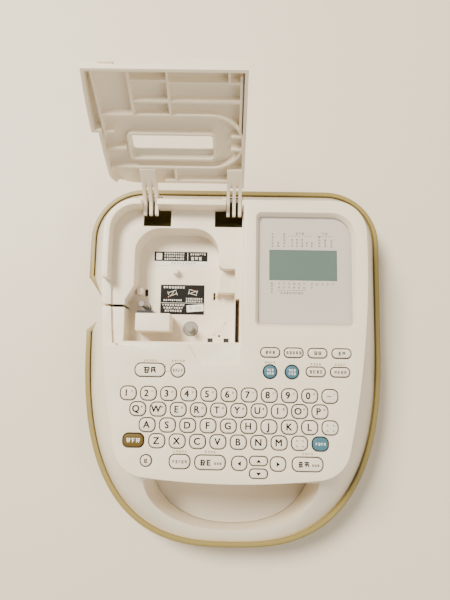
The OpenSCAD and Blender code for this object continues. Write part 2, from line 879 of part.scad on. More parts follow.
// --- Print head and cutter -------------------------------------------------------------
module head_cover() {
    color(white) place() difference() {
        translate([head_x - head_w / 2, head_y - head_d / 2, well_z])
            cube([head_w, head_d, head_top - well_z]);
        translate([head_x - head_w / 2 + 1.4, head_y - head_d / 2 + 1.4, well_z - 1])
            cube([head_w - 2.8, head_d - 2.8, head_top - well_z - 0.4]);
    }
}

module print_head() {
    color(dark) place() {
        translate([head_x - head_w / 2 + 0.5, head_y + head_d / 2 + snug, well_z])
            cube([9, 1.6, head_top - well_z - 2]);
    }
}

blade_x = bay_x + 7.5;
blade_low = well_z + 0.5;
blade_top = ledge_z - sheet_t - snug;
blade_t = 0.8;
module cutter_blade() {
    color(steel) place() translate([blade_x, tape_y - 5.6, blade_low])
        cube([blade_t, 4.4, blade_top - blade_low - 1]);
}

module fixed_blade() {
    color(steel) place() translate([blade_x + blade_t + 0.1, tape_y + 1, blade_low])
        cube([blade_t, 4, blade_top - blade_low]);
}

// --- Drive -----------------------------------------------------------------------------
gear_low = plate_top + 1.2;
gear_t = 4;
function gear_r(n) = gear_m * n / 2;
function polar(r, a) = [r * cos(a), r * sin(a)];
function involute(a) = tan(a) * 180 / PI - a;
mesh_gap = 0.15; // centre distances are this much over the sum of the pitch radii

// Half of a tooth's angle at radius r, with a little backlash
function tooth_half(n, r) = let (base = gear_r(n) * cos(20))
    90 / n - 14 / n + involute(20) - (r > base ? involute(acos(base / r)) : 0);

function tooth_points(n, k) = let (
        root = gear_r(n) - 1.2 * gear_m, tip = gear_r(n) + 0.85 * gear_m,
        rs = [root, gear_r(n) - 0.4 * gear_m, gear_r(n), gear_r(n) + 0.45 * gear_m, tip],
        mid = k * 360 / n)
    concat([for (i = [0:4]) polar(rs[i], mid - tooth_half(n, rs[i]))],
        [for (i = [4:-1:0]) polar(rs[i], mid + tooth_half(n, rs[i]))]);

module gear(n, phase, bore, hub_r) {
    difference() {
        union() {
            rotate(phase) linear_extrude(gear_t)
                polygon([for (k = [0:n - 1]) each tooth_points(n, k)]);
            translate([0, 0, -0.5]) cylinder(r = hub_r, h = gear_t + 1);
        }
        if (bore > 0) translate([0, 0, -1]) cylinder(r = bore, h = gear_t + 3);
    }
}

// The reduction gear sits where it meshes with both spindle gears.
span = ribbon_at - platen_at;
d_span = norm(span);
d_platen = gear_r(idler_n) + gear_r(platen_n) + mesh_gap;
d_ribbon = gear_r(idler_n) + gear_r(ribbon_n) + mesh_gap;
along = (d_platen * d_platen - d_ribbon * d_ribbon + d_span * d_span) / (2 * d_span);
aside = sqrt(d_platen * d_platen - along * along);
idler_at = platen_at + along / d_span * span + aside / d_span * [-span[1], span[0]];
motor_a = -8;
motor_at = idler_at + polar(gear_r(idler_n) + gear_r(pinion_n) + mesh_gap, motor_a);

// Phase of a gear of n teeth that meshes with the reduction gear in direction a
function mate_phase(n, a) = let (f = a * idler_n / 360) a + 180 - (0.5 - f) * 360 / n;
function heading(p) = atan2(p[1] - idler_at[1], p[0] - idler_at[0]);

module at_gear(p) {
    translate([p[0], p[1], gear_low]) children();
}

module reduction_gear() {
    color(white) place() at_gear(idler_at) gear(idler_n, 0, shaft_r + run_gap, 4);
}

module platen_gear() {
    color(grey) place() at_gear(platen_at)
        gear(platen_n, mate_phase(platen_n, heading(platen_at)), shaft_r + run_gap, 3);
}

module ribbon_gear() {
    color(grey) place() at_gear(ribbon_at)
        gear(ribbon_n, mate_phase(ribbon_n, heading(ribbon_at)), shaft_r + run_gap, 3);
}

motor_shaft_r = 1;
module motor_pinion() {
    color([0.75, 0.62, 0.3]) place() {
        at_gear(motor_at) gear(pinion_n, mate_phase(pinion_n, heading(motor_at)), 0, 2.4);
        translate([motor_at[0], motor_at[1], gear_low - 8]) cylinder(r = motor_shaft_r, h = 8);
    }
}

module gear_axle() {
    color(steel) place() translate([idler_at[0], idler_at[1], plate_top - 2.4])
        cylinder(r = shaft_r, h = gear_t + 5);
}

module platen_spindle() {
    color(grey) place() translate([platen_at[0], platen_at[1], 0]) {
        translate([0, 0, plate_top - 1.6]) cylinder(r = shaft_r, h = ledge_z - plate_top + 1.6);
        translate([0, 0, gear_low + gear_t + 0.8])
            cylinder(r = platen_hub_r, h = well_z + 3 - gear_low - gear_t - 0.8);
    }
}

module ribbon_spindle() {
    color(grey) place() translate([ribbon_at[0], ribbon_at[1], 0]) {
        translate([0, 0, plate_top - 1.6]) cylinder(r = shaft_r, h = gear_low - plate_top + 8);
        translate([0, 0, gear_low + gear_t + 0.8])
            cylinder(r = ribbon_hub_r, h = well_z + 0.5 - gear_low - gear_t - 0.8);
        translate([0, 0, well_z]) cylinder(r = 2, h = 12);
    }
}

plate_t = 1.2;
module gear_plate() {
    color(steel) place() difference() {
        translate([bay_x + 14, bay_y + 4, plate_top - plate_t])
            cube([bay_w - 17.5, 52, plate_t]);
        for (p = [platen_at, ribbon_at, idler_at]) {
            translate([p[0], p[1], 0]) cylinder(r = shaft_r + run_gap, h = 40);
        }
        translate([motor_at[0], motor_at[1], 0]) cylinder(r = 3, h = 40);
    }
}

motor_r = 12;
module drive_motor() {
    color(steel) place() translate([motor_at[0], motor_at[1], 0]) difference() {
        union() {
            translate([0, 0, floor_z + 0.4])
                cylinder(r = motor_r, h = plate_top - plate_t - floor_z - 0.4);
            translate([0, 0, floor_z + 1])
                cylinder(r = 2.8, h = plate_top - floor_z - 0.8);
        }
        translate([0, 0, gear_low - 8.5]) cylinder(r = motor_shaft_r + run_gap, h = 20);
    }
}

// --- Small pieces in the bay -----------------------------------------------------------
module cassette_sensor() {
    color(dark) place() {
        for (x = [bay_right - 19, bay_right - 9.2]) {
            translate([x - 1.3, bay_y + 2.1, well_z - 5]) cube([2.6, 2.8, 4.6]);
        }
        translate([bay_right - 20.3, bay_y + 2.1, well_z - 6])
            cube([12.4, 2.8, 1.1]);
    }
}

module cassette_spring() {
    color([0.6, 0.45, 0.3]) place()
        translate([strip_x + strip_slot - 0.5 - snug, bay_y + 2.2, well_z - 3.8])
            cube([0.5, 24.6, 14]);
}

label_t = 0.15;
module bay_label_upper() {
    color(dark) place() translate([bay_x + 41.8, bay_y + 54.4, well_z + label_t / 2])
        cube([33, 8.8, label_t], center = true);
}

module bay_label_lower() {
    color(dark) place() translate([bay_x + 43.4, bay_y + 28.7, well_z + label_t / 2])
        cube([27, 18.4, label_t], center = true);
}

// --- Feet, screws, battery -------------------------------------------------------------
foot_at = [[-52, 40], [52, 40], [bay_x + 20, body_l - 32], [deck_w / 2 - 28, body_l - 32]];
foot_r = 5;
module feet() {
    color(dark) place() for (p = foot_at) {
        translate([p[0], p[1], 0]) cylinder(r = foot_r, h = foot_h);
    }
}

module case_screws() {
    color(steel) place() for (p = all_screws) {
        translate([p[0], p[1], floor_z + 2 - 1.6]) cylinder(r = 2.3, h = 1.6);
        translate([p[0], p[1], floor_z + 1.9]) cylinder(r = screw_r, h = boss_top + 5 - floor_z);
    }
}

module battery_cover() {
    color(khaki) place() up(foot_h, wall - 0.2) cover_shape(clear);
}

cell_z = floor_z + cell_d / 2 + 0.7;
function cell_x(i) = (i - 2.5) * (cell_d + 0.6);
module battery_cells() {
    color([0.25, 0.3, 0.5]) place() for (i = [0:5]) {
        flip = i % 2 == 0 ? 1 : -1;
        translate([cell_x(i), battery_y + battery_l / 2, cell_z]) rotate([-90 * flip, 0, 0]) {
            translate([0, 0, -cell_l / 2]) cylinder(r = cell_d / 2, h = cell_l - 1.2);
            translate([0, 0, cell_l / 2 - 1.3]) cylinder(r = 2.8, h = 1.3);
        }
    }
}

module battery_contacts() {
    color(steel) place() for (i = [0:5]) {
        for (end = [-1, 1]) {
            translate([cell_x(i), battery_y + battery_l / 2 + end * (battery_l / 2 - 0.4), cell_z])
                cube([cell_d - 4, 0.6, cell_d - 4], center = true);
            translate([cell_x(i), battery_y + battery_l / 2 + end * (cell_l / 2 + 1.2), cell_z])
                rotate([90, 0, 0]) cylinder(r = 2.5, h = battery_l / 2 - cell_l / 2 - 0.7,
                    center = true);
        }
    }
}

module dc_jack() {
    color(dark) place() difference() {
        union() {
            translate([jack_x - 5.4, body_l - 24, jack_z - 5.4]) cube([10.8, 11.7, 10.8]);
            translate([jack_x, body_l - 14, jack_z]) rotate([-90, 0, 0])
                cylinder(r = jack_r, h = 8.4);
        }
        translate([jack_x, body_l - 18, jack_z]) rotate([-90, 0, 0])
            cylinder(r = 2.75, h = 20);
    }
}

lower_case();
upper_case();
deck_panel();
bay_tray();
cassette_lid();
lid_window();
hinge_pin_left();
hinge_pin_right();
display_window();
display_mask();
lcd_module();
keypad_sheet();
main_board();
head_cover();
print_head();
platen_spindle();
ribbon_spindle();
platen_gear();
ribbon_gear();
reduction_gear();
gear_axle();
motor_pinion();
drive_motor();
gear_plate();
cutter_blade();
fixed_blade();
cassette_sensor();
cassette_spring();
bay_label_upper();
bay_label_lower();
battery_cover();
battery_cells();
battery_contacts();
feet();
case_screws();
dc_jack();
for (n = [0:len(FUNCTION_KEYS) - 1]) {
    function_key(n);
}
for (n = [0:len(KEY_ROWS) - 1]) {
    key_row(n);
}
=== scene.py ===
import bpy
import bmesh
import json
import math
import random
from mathutils import Matrix, Vector


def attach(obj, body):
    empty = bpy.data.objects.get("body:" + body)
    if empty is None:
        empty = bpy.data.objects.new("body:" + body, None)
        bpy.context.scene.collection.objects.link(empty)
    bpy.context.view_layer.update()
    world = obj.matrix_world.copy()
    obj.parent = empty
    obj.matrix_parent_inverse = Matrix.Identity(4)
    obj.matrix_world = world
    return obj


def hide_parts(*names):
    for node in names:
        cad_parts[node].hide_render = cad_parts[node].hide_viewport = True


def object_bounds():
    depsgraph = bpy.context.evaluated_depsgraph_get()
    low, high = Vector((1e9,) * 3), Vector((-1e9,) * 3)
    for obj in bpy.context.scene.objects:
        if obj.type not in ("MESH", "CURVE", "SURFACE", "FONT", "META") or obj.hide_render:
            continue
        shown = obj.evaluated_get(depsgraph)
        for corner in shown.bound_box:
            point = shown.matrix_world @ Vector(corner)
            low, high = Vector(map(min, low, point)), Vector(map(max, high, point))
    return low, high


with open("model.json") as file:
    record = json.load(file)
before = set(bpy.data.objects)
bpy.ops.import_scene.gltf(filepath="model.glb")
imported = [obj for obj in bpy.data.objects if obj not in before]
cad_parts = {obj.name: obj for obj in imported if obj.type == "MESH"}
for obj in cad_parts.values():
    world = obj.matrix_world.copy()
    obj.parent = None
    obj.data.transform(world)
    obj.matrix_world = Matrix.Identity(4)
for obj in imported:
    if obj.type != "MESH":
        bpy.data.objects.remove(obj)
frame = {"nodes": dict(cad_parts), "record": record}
at_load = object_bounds()
scene = bpy.context.scene
MM = 0.001
# Places below are in the CAD's body coordinates, in mm: X from the middle, Y from the front of
# the handle, which is the frame's lowest Y, and Z from the table.
HANDLE_Y = at_load[0][1]


def P(x, y, z):
    return Vector((x * MM, y * MM + HANDLE_Y, z * MM))


# ---------------------------------------------------------------- materials
def surface(name, rgb, rough=0.45, spread=0.03, grain=900, bump=0.012, metallic=0.0, alpha=1.0,
            coat=0.0, blotch=35, spec=0.5):
    """Plastic, metal or ink, its colour mottled and its roughness grained by noise."""
    m = bpy.data.materials.new(name)
    m.use_nodes = True
    nt = m.node_tree
    nt.nodes.clear()
    out = nt.nodes.new("ShaderNodeOutputMaterial")
    sh = nt.nodes.new("ShaderNodeBsdfPrincipled")
    nt.links.new(sh.outputs["BSDF"], out.inputs["Surface"])
    tc = nt.nodes.new("ShaderNodeTexCoord")
    fine = nt.nodes.new("ShaderNodeTexNoise")
    fine.inputs["Scale"].default_value = grain
    fine.inputs["Detail"].default_value = 3
    wide = nt.nodes.new("ShaderNodeTexNoise")
    wide.inputs["Scale"].default_value = blotch
    wide.inputs["Detail"].default_value = 4
    nt.links.new(tc.outputs["Object"], fine.inputs["Vector"])
    nt.links.new(tc.outputs["Object"], wide.inputs["Vector"])
    mix = nt.nodes.new("ShaderNodeMix")
    mix.data_type = "RGBA"
    mix.inputs[6].default_value = [c * (1 - spread) for c in rgb] + [1]
    mix.inputs[7].default_value = [min(1, c * (1 + spread)) for c in rgb] + [1]
    nt.links.new(wide.outputs["Fac"], mix.inputs[0])
    nt.links.new(mix.outputs[2], sh.inputs["Base Color"])
    rr = nt.nodes.new("ShaderNodeMapRange")
    rr.inputs["To Min"].default_value = max(0.02, rough - 0.05)
    rr.inputs["To Max"].default_value = min(1, rough + 0.06)
    nt.links.new(fine.outputs["Fac"], rr.inputs["Value"])
    nt.links.new(rr.outputs["Result"], sh.inputs["Roughness"])
    if bump:
        bp = nt.nodes.new("ShaderNodeBump")
        bp.inputs["Strength"].default_value = 0.35
        bp.inputs["Distance"].default_value = bump * MM
        nt.links.new(fine.outputs["Fac"], bp.inputs["Height"])
        nt.links.new(bp.outputs["Normal"], sh.inputs["Normal"])
    sh.inputs["Metallic"].default_value = metallic
    sh.inputs["Alpha"].default_value = alpha
    sh.inputs["Coat Weight"].default_value = coat
    sh.inputs["IOR"].default_value = 1.46
    sh.inputs["Specular IOR Level"].default_value = spec
    m.diffuse_color = list(rgb) + [alpha]
    return m


LOOKS = {
    "case_white": surface("case_white", (0.91, 0.81, 0.64), 0.40),
    "tray_white": surface("tray_white", (0.88, 0.785, 0.64), 0.46),
    "case_khaki": surface("case_khaki", (0.31, 0.24, 0.075), 0.42),
    "key_white": surface("key_white", (0.88, 0.785, 0.64), 0.38),
    "key_blue": surface("key_blue", (0.06, 0.165, 0.215), 0.45, spec=0.3),
    "key_khaki": surface("key_khaki", (0.125, 0.08, 0.015), 0.45, spec=0.3),
    "clear": surface("clear", (0.93, 0.95, 0.94), 0.05, 0.01, bump=0, alpha=0.06, coat=0.1),
    "steel": surface("steel", (0.6, 0.6, 0.6), 0.3, metallic=1),
    "mask_silver": surface("mask_silver", (0.60, 0.53, 0.46), 0.3, 0.02, coat=0.3),
    "lcd_green": surface("lcd_green", (0.016, 0.085, 0.052), 0.35, 0.03, bump=0, spec=0.2),
    "pad_grey": surface("pad_grey", (0.3, 0.3, 0.28), 0.7),
    "board_green": surface("board_green", (0.03, 0.13, 0.06), 0.35, 0.1),
    "head_black": surface("head_black", (0.02, 0.02, 0.022), 0.3),
    "gear_grey": surface("gear_grey", (0.3, 0.285, 0.26), 0.45),
    "gear_white": surface("gear_white", (0.78, 0.76, 0.68), 0.4),
    "pinion_brass": surface("pinion_brass", (0.72, 0.5, 0.2), 0.28, metallic=1),
    "motor_steel": surface("motor_steel", (0.55, 0.56, 0.57), 0.32, metallic=1),
    "blade_steel": surface("blade_steel", (0.68, 0.69, 0.7), 0.2, metallic=1),
    "sensor_black": surface("sensor_black", (0.012, 0.012, 0.012), 0.5),
    "spring_bronze": surface("spring_bronze", (0.36, 0.25, 0.15), 0.3, metallic=1),
    "label_black": surface("label_black", (0.012, 0.011, 0.010), 0.55, bump=0, spec=0.12),
    "cell_blue": surface("cell_blue", (0.03, 0.07, 0.2), 0.3, metallic=0.4),
    "contact_steel": surface("contact_steel", (0.75, 0.75, 0.75), 0.18, metallic=1),
    "foot_rubber": surface("foot_rubber", (0.02, 0.02, 0.02), 0.8),
    "screw_steel": surface("screw_steel", (0.45, 0.45, 0.45), 0.35, metallic=1),
    "jack_black": surface("jack_black", (0.012, 0.012, 0.012), 0.4),
}
# the near-black brown of the print, also used for the painted shade in and round the key gaps
INK_AND_GAP_SHADE = surface("ink_brown_and_gap_shade", (0.012, 0.007, 0.004), 0.6, bump=0, spec=0.1)
INK_SOFT = surface("ink_soft", (0.05, 0.034, 0.022), 0.6, bump=0, spec=0.1)
INK_PALE = surface("ink_pale", (0.26, 0.2, 0.14), 0.6, bump=0, spec=0.1)
INK_ORANGE = surface("ink_orange", (0.26, 0.12, 0.03), 0.6, bump=0, spec=0.1)
INK_WHITE = surface("ink_white", (0.86, 0.84, 0.78), 0.5, bump=0)
INK_AMBER = surface("ink_amber", (0.6, 0.25, 0.05), 0.5, bump=0)
SLOT = {s["node"]: s["material_slot"] for s in frame["record"]["subparts"]}
BODY = {n: b for b, ns in frame["record"]["behaviour"]["bodies"].items() for n in ns}
for name, o in frame["nodes"].items():
    o.data.materials.clear()
    o.data.materials.append(LOOKS[SLOT[name]])


def add(name, mesh, body, look, smooth=None):
    """A new piece from a mesh that is already in the row frame."""
    o = bpy.data.objects.new(name, mesh)
    scene.collection.objects.link(o)
    mesh.materials.clear()
    mesh.materials.append(look)
    if smooth is not None:
        mesh.shade_smooth()
        mesh.set_sharp_from_angle(angle=math.radians(smooth))
    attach(o, body)
    return o


# ---------------------------------------------------------------- shells with soft edges
BEVEL_FROM = 32  # degrees between two faces, from which their edge is bevelled
SMOOTH_TO = 38  # degrees up to which shading runs on


def soften(node, width):
    """A copy of a CAD node with bevelled edges, which is shown in the node's place."""
    src = frame["nodes"][node]
    bm = bmesh.new()
    bm.from_mesh(src.data)
    bmesh.ops.remove_doubles(bm, verts=bm.verts, dist=2e-6)
    bmesh.ops.dissolve_limit(bm, angle_limit=math.radians(0.6), verts=bm.verts, edges=bm.edges)
    picked = [e for e in bm.edges
              if len(e.link_faces) == 2 and e.calc_face_angle(0) > math.radians(BEVEL_FROM)]
    bmesh.ops.bevel(bm, geom=picked, offset=width * MM, offset_type="OFFSET", segments=3,
                    profile=0.5, affect="EDGES", clamp_overlap=True)
    bmesh.ops.triangulate(bm, faces=[f for f in bm.faces if len(f.verts) > 4])
    me = bpy.data.meshes.new(node + "_skin")
    bm.to_mesh(me)
    bm.free()
    o = add(node + "_skin", me, BODY[node], LOOKS[SLOT[node]], SMOOTH_TO)
    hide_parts(node)
    return o


BEVELS = {"lower_case": 0.35, "upper_case": 0.4, "deck_panel": 0.3, "bay_tray": 0.4,
          "cassette_lid": 0.25, "head_cover": 0.5, "battery_cover": 0.3}
for node, width in BEVELS.items():
    soften(node, width)


# ---------------------------------------------------------------- keys
CORNER_POINTS = 9


def ring(cx, cy, w, d, r, z):
    """Points round a rounded rectangle."""
    r = min(r, w / 2, d / 2)
    n = CORNER_POINTS
    pts = []
    for qx, qy, a0 in ((1, 1, 0), (-1, 1, 90), (-1, -1, 180), (1, -1, 270)):
        for i in range(n):
            a = math.radians(a0 + 90 * i / (n - 1))
            pts.append((cx + qx * (w / 2 - r) + r * math.cos(a),
                        cy + qy * (d / 2 - r) + r * math.sin(a), z))
    return pts


def stack(bm, rings):
    """A closed skin through rings of equal counts, from the lowest up."""
    loops = [[bm.verts.new(P(*p)) for p in ps] for ps in rings]
    for a, b in zip(loops, loops[1:]):
        for i in range(len(a)):
            j = (i + 1) % len(a)
            bm.faces.new((a[i], a[j], b[j], b[i]))
    bm.faces.new(list(reversed(loops[0])))
    bm.faces.new(loops[-1])


# Function keys: X, Y, width, depth, corner radius
FUNCTION_KEYS = {
    "print_key": (-45.5, 101.5, 16.6, 7.4, 3.4), "preview_key": (-30.2, 101.5, 7.6, 7.6, 3.8),
    "layout_key": (20.3, 112.1, 10.5, 5.3, 2.4), "size_key": (33.2, 112.1, 10.5, 5.3, 2.4),
    "style_key": (46.3, 112.1, 10.5, 5.3, 2.4), "edit_key": (59.5, 112.1, 10.5, 5.3, 2.4),
    "cancel_key": (20.3, 101.6, 7.6, 7.6, 3.8), "erase_key": (32.3, 101.6, 7.6, 7.6, 3.8),
    "file_key": (45.3, 101.9, 10.5, 5.3, 2.4), "setup_key": (58.6, 101.9, 10.5, 5.3, 2.4),
    "shift_key": (-53.2, 63.8, 11.4, 7.5, 3), "return_key": (47.5, 63.5, 8.8, 7.5, 3.2),
    "power_key": (-46, 53.3, 6.2, 6.2, 3.1), "mode_key": (-27.9, 53.1, 11.2, 7.5, 3.2),
    "space_key": (-11.6, 52.9, 16.4, 7.6, 3.2), "left_key": (4.1, 52.7, 8.3, 7.4, 3.2),
    "up_key": (14.4, 54.1, 9.7, 4.9, 2.2), "down_key": (14.4, 47.5, 9.7, 4.9, 2.2),
    "right_key": (24.8, 52.7, 8.4, 7.5, 3.2), "select_key": (40.6, 52.8, 16.5, 7.5, 3.2)}
# Character rows: X of the first key, Y, count
ROWS = {"number_row": (-56.9, 88.81, 11), "q_row": (-51.4, 80.44, 10), "a_row": (-46, 72.07, 10),
        "z_row": (-40.5, 63.7, 8)}
KEY_PITCH = 10.98
KEY_W, KEY_D, KEY_R = 8.7, 7.5, 3.1
KEY_GAP = 0.3
KEY_LOW = 52.3
KEY_TOP = 57.0
DECK_TOP = 56
FLANGE = 0.25  # the flange's reach past the key's outline
FLANGE_T = 1
RIM = 0.75  # radius of a cap's top edge
CROWN = 0.12  # height of a cap's domed middle over its edge
DOME = ((0.72, 0.06), (0.4, 0.1), (0.12, CROWN))  # shares of the cap's top, and their rises


def row_keys(row):
    """Each key of a character row: X, Y, width, depth, corner radius."""
    x0, y, n = ROWS[row]
    return [(x0 + i * KEY_PITCH, y, KEY_W, KEY_D, KEY_R) for i in range(n)]


def key_rings(bm, x, y, w, d, r):
    r = min(r, d / 2 - 0.01)
    flange = (x, y, w + 2 * FLANGE, d + 2 * FLANGE, r + FLANGE)
    stem = (x, y, w - 2 * KEY_GAP, d - 2 * KEY_GAP, r - KEY_GAP)
    out = [ring(*flange, KEY_LOW), ring(*flange, KEY_LOW + FLANGE_T),
           ring(*stem, KEY_LOW + FLANGE_T + 0.01)]
    steps = 6
    for i in range(steps + 1):
        a = math.radians(90 * i / steps)
        g = KEY_GAP + RIM * (1 - math.cos(a))
        z = KEY_TOP - CROWN - RIM + RIM * math.sin(a)
        out.append(ring(x, y, w - 2 * g, d - 2 * g, max(r - g, 0.3), z))
    edge = 2 * (KEY_GAP + RIM)
    for share, rise in DOME:
        w2, d2 = (w - edge) * share, (d - edge) * share
        out.append(ring(x, y, w2, d2, min(w2, d2) * 0.45, KEY_TOP - CROWN + rise))
    stack(bm, out)


def build_key(node, spots):
    bm = bmesh.new()
    for s in spots:
        key_rings(bm, *s)
    if len(spots) > 1:
        # the bar that joins a row's caps
        x0, x1, y = spots[0][0], spots[-1][0], spots[0][1]
        stack(bm, [[(x0, y - 2, z), (x1, y - 2, z), (x1, y + 2, z), (x0, y + 2, z)]
                   for z in (KEY_LOW, KEY_LOW + 0.8)])
    me = bpy.data.meshes.new(node + "_caps")
    bm.to_mesh(me)
    bm.free()
    o = add(node + "_caps", me, BODY[node], LOOKS[SLOT[node]], 50)
    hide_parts(node)


for node, s in FUNCTION_KEYS.items():
    build_key(node, [s])
for node in ROWS:
    build_key(node, row_keys(node))


# ---------------------------------------------------------------- printed marks
class Ink:
    """Flat marks of one colour on one body, gathered into one piece."""

    def __init__(self, name, body, look):
        self.name, self.body, self.look = name, body, look
        self.verts, self.faces = [], []

    def poly(self, pts, z):
        k = len(self.verts)
        self.verts += [P(p[0], p[1], z) for p in pts]
        self.faces.append(list(range(k, k + len(pts))))

    def band(self, x, y, w, d, r, inner, z):
        """A flat ring round a rounded rectangle, from its outline in by inner."""
        k = len(self.verts)
        a = ring(x, y, w, d, r, z)
        b = ring(x, y, w - 2 * inner, d - 2 * inner, max(r - inner, 0.1), z)
        self.verts += [P(*p) for p in a + b]
        n = len(a)
        self.faces += [[k + i, k + (i + 1) % n, k + n + (i + 1) % n, k + n + i] for i in range(n)]

    def bar(self, x, y, w, h, z, turn=0):
        c, s = math.cos(math.radians(turn)), math.sin(math.radians(turn))
        self.poly([(x + c * a - s * b, y + s * a + c * b) for a, b in
                   ((-w / 2, -h / 2), (w / 2, -h / 2), (w / 2, h / 2), (-w / 2, h / 2))], z)

    def letter(self, ch, x, y, size, z):
        cu = bpy.data.curves.new("letter", "FONT")
        cu.body = ch
        cu.size = size
        cu.align_x = "CENTER"
        cu.align_y = "CENTER"
        cu.resolution_u = 3
        ob = bpy.data.objects.new("letter", cu)
        scene.collection.objects.link(ob)
        bpy.context.view_layer.update()
        me = bpy.data.meshes.new_from_object(ob)
        k = len(self.verts)
        self.verts += [P(x + v.co.x, y + v.co.y, z) for v in me.vertices]
        self.faces += [[k + i for i in p.vertices] for p in me.polygons]
        bpy.data.objects.remove(ob)
        bpy.data.meshes.remove(me)
        bpy.data.curves.remove(cu)

    def sign(self, x, y, w, h, z, seed, t=None):
        """A made-up sign of strokes that means nothing."""
        rnd = random.Random(seed)
        t = t or min(w, h) * 0.22
        self.bar(x, y + h * 0.36, w * rnd.uniform(0.7, 0.95), t, z)
        self.bar(x, y - h * 0.02, w * rnd.uniform(0.5, 0.8), t, z)
        if rnd.random() < 0.6:
            self.bar(x, y - h * 0.38, w * rnd.uniform(0.6, 0.9), t, z)
        over = z + 0.002
        self.bar(x + w * rnd.uniform(-0.3, -0.1), y, t, h * 0.8, over)
        if rnd.random() < 0.7:
            self.bar(x + w * rnd.uniform(0.12, 0.36), y - h * 0.05, t, h * 0.75, over,
                     rnd.choice((0, 0, -18, 18)))

    def signs(self, x, y, n, w, h, z, seed, gap=0.25, t=None):
        x0 = x - (n - 1) * (w + gap) / 2
        for i in range(n):
            self.sign(x0 + i * (w + gap), y, w, h, z, seed * 31 + i, t)

    def make(self):
        if not self.faces:
            return
        me = bpy.data.meshes.new(self.name)
        me.from_pydata([tuple(v) for v in self.verts], [], self.faces)
        me.update()
        add(self.name, me, self.body, self.look)


def shade_gaps():
    """Painted shade: a dark ring down in each key's gap, and a thin dark ring on the deck round it,
    standing in for the shadow in the gap.
    """
    gaps = Ink("key_gap_shade", "case", INK_AND_GAP_SHADE)
    spots = list(FUNCTION_KEYS.values())
    for row in ROWS:
        spots += row_keys(row)
    for x, y, w, d, r in spots:
        # painted shade: one ring fills the gap just under the deck top, the other darkens the deck
        # right round the hole
        gaps.band(x, y, w + 0.3, d + 0.3, r + 0.15, 0.42, DECK_TOP - 0.16)
        gaps.band(x, y, w + 0.7, d + 0.7, r + 0.35, 0.33, DECK_TOP + 0.01)
    gaps.make()


KEY_INK_Z = KEY_TOP + 0.004
DECK_INK_Z = DECK_TOP + 0.012
BOLD = ((-0.13, -0.1), (0.13, -0.1), (-0.13, 0.1), (0.13, 0.1))  # a legend is printed once at each


def row_legends(node, legends):
    """Letters or digits on a character row, small marks beside them, and signs on its last key."""
    two_marks = node in ("number_row", "q_row")
    ink = Ink(node + "_legends", BODY[node], INK_AND_GAP_SHADE)
    pale = Ink(node + "_small_marks", BODY[node], INK_PALE if node == "number_row" else INK_SOFT)
    spots = row_keys(node)
    shift = -1.0 if two_marks else -0.3
    for i, ch in enumerate(legends):
        x, y = spots[i][:2]
        for k, (dx, dy) in enumerate(BOLD):
            ink.letter(ch, x + shift + dx, y + dy, 5.1, KEY_INK_Z + 0.001 * k)
        if two_marks:
            pale.sign(x + 2.2, y + 1.1, 1.3, 1.3, KEY_INK_Z, i * 7 + len(node), 0.22)
    last, y = spots[-1][:2]
    if node == "number_row":
        ink.bar(last - 0.6, y, 2.6, 0.42, KEY_INK_Z)
        pale.bar(last + 2.0, y + 1.2, 1.2, 0.25, KEY_INK_Z)
    if not two_marks:
        for dx, dy in ((-1.7, 1.5), (1.6, 1.5), (-1.7, -1.4), (1.6, -1.4)):
            ink.bar(last + dx, y + dy, 0.55, 0.55, KEY_INK_Z, 45)
            ink.bar(last + dx + 0.5, y + dy - 0.5, 0.35, 0.35, KEY_INK_Z)
    ink.make()
    pale.make()


# Made-up signs on function keys: how many, width, height, colour
KEY_SIGNS = {
    "print_key": (2, 3.4, 3.6, INK_AND_GAP_SHADE), "preview_key": (4, 1.15, 1.9, INK_AND_GAP_SHADE),
    "layout_key": (3, 1.6, 2.0, INK_AND_GAP_SHADE), "size_key": (5, 1.45, 1.8, INK_AND_GAP_SHADE),
    "style_key": (2, 1.9, 2.0, INK_AND_GAP_SHADE), "edit_key": (2, 1.9, 2.0, INK_AND_GAP_SHADE),
    "file_key": (4, 1.6, 2.0, INK_AND_GAP_SHADE), "setup_key": (4, 1.5, 1.8, INK_AND_GAP_SHADE),
    "shift_key": (3, 2.3, 2.6, INK_WHITE), "return_key": (4, 1.2, 1.7, INK_WHITE),
    "power_key": (1, 2.1, 2.3, INK_AND_GAP_SHADE), "mode_key": (5, 1.35, 1.9, INK_AND_GAP_SHADE),
    "select_key": (2, 2.9, 3.1, INK_AND_GAP_SHADE), "space_key": (2, 3.0, 3.2, INK_AND_GAP_SHADE)}
SIGN_SHIFT = {"select_key": -2.2, "space_key": -2.4}  # these have small signs at the right too
ARROWS = {"left_key": 180, "up_key": 90, "down_key": 270, "right_key": 0}


def key_signs(node, n, w, h, look):
    x, y = FUNCTION_KEYS[node][:2]
    ink = Ink(node + "_legend", BODY[node], look)
    seed = len(node) * 5 + int(x)
    ink.signs(x + SIGN_SHIFT.get(node, 0), y, n, w, h, KEY_INK_Z, seed, 0.3)
    if node in SIGN_SHIFT:
        ink.signs(x + 4.2, y - 0.4, 3, 1.15, 1.3, KEY_INK_Z, 77, 0.25)
    ink.make()


def two_line_signs(node):
    x, y = FUNCTION_KEYS[node][:2]
    ink = Ink(node + "_legend", BODY[node], INK_WHITE)
    ink.signs(x, y + 0.95, 3, 1.15, 1.35, KEY_INK_Z, int(x), 0.2)
    ink.signs(x, y - 0.95, 3, 1.15, 1.35, KEY_INK_Z, int(x) + 9, 0.2)
    ink.make()


def key_arrow(node, turn):
    x, y = FUNCTION_KEYS[node][:2]
    ink = Ink(node + "_arrow", BODY[node], INK_AND_GAP_SHADE)
    tip, back, half = (0.95, -0.75, 1.4) if turn in (90, 270) else (1.05, -0.85, 1.35)
    c, s = math.cos(math.radians(turn)), math.sin(math.radians(turn))
    ink.poly([(x + c * a - s * b, y + s * a + c * b)
              for a, b in ((tip, 0), (back, half), (back, -half))], KEY_INK_Z)
    ink.make()


